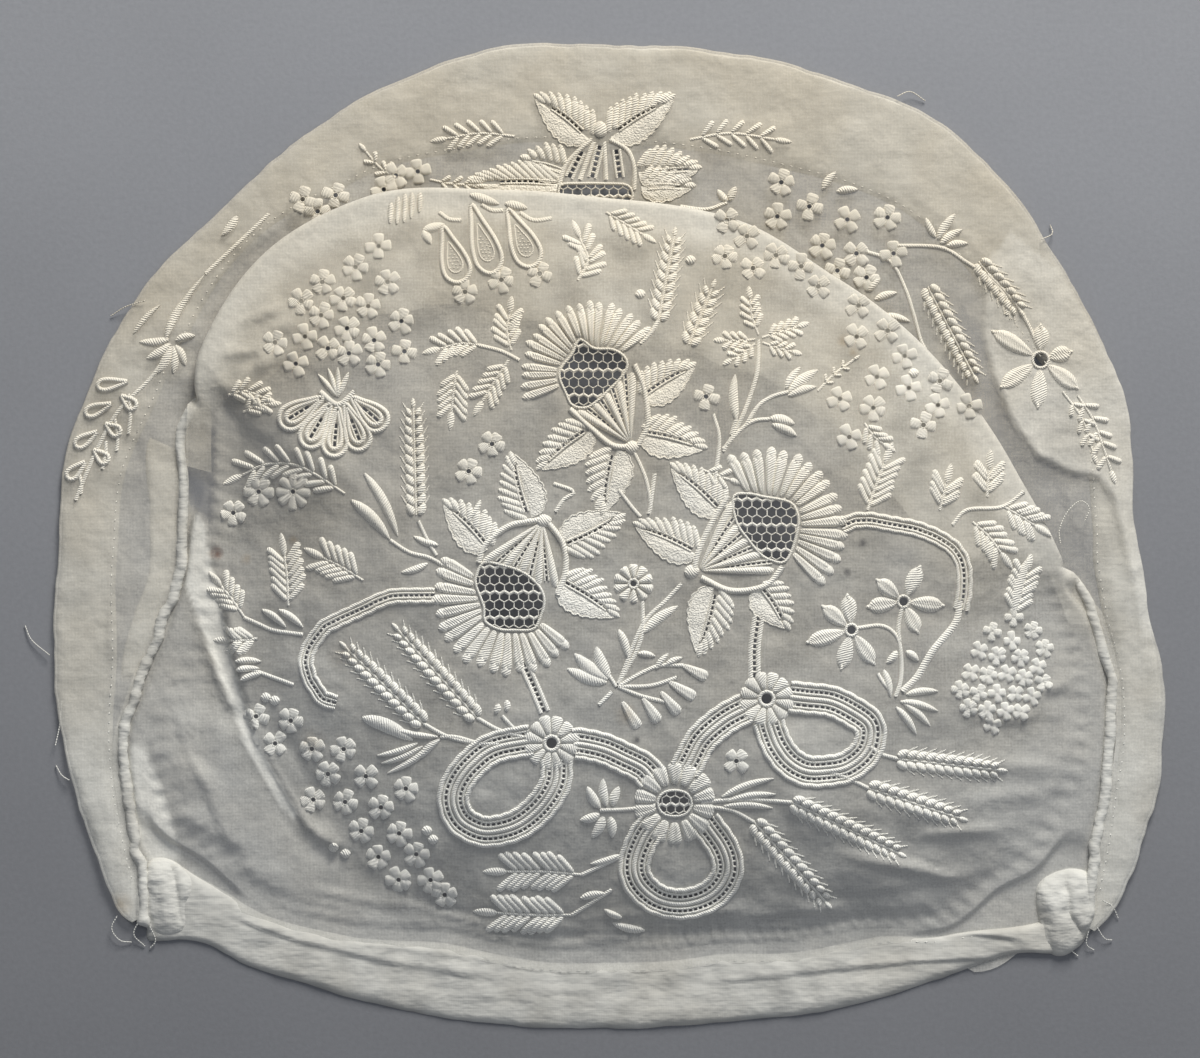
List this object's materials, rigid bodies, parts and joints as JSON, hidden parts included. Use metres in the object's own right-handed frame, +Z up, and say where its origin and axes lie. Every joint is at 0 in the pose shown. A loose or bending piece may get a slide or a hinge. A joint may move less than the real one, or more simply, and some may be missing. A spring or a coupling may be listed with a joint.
{
  "type": "embroidered muslin cap",
  "caption": "Soft sheer cap with a puffed, embroidered crown, a faced front, gathered side seams and a hemmed nape, laid flat.",
  "frame": {"origin": "on the surface that the cap lies on, under the middle of its outline", "axes": "+Z up from the surface, +Y towards the face edge, +X towards the right of the picture"},
  "size_m": [0.2775, 0.2458, 0.0175],
  "materials": {
    "muslin": "sheer plain weave, matt",
    "cotton_band": "close plain weave, matt",
    "white_thread": "soft cotton thread, matt",
    "doubled_cloth": "folded plain weave, matt"
  },
  "bodies": {
    "root": {"crown": "muslin", "front_piece": "muslin", "front_facing": "cotton_band", "nape_hem": "cotton_band", "side_seam_left": "white_thread", "side_seam_right": "white_thread", "seam_tape_left": "cotton_band", "corner_patch_left": "doubled_cloth", "corner_patch_right": "doubled_cloth"}
  },
  "joints": []
}
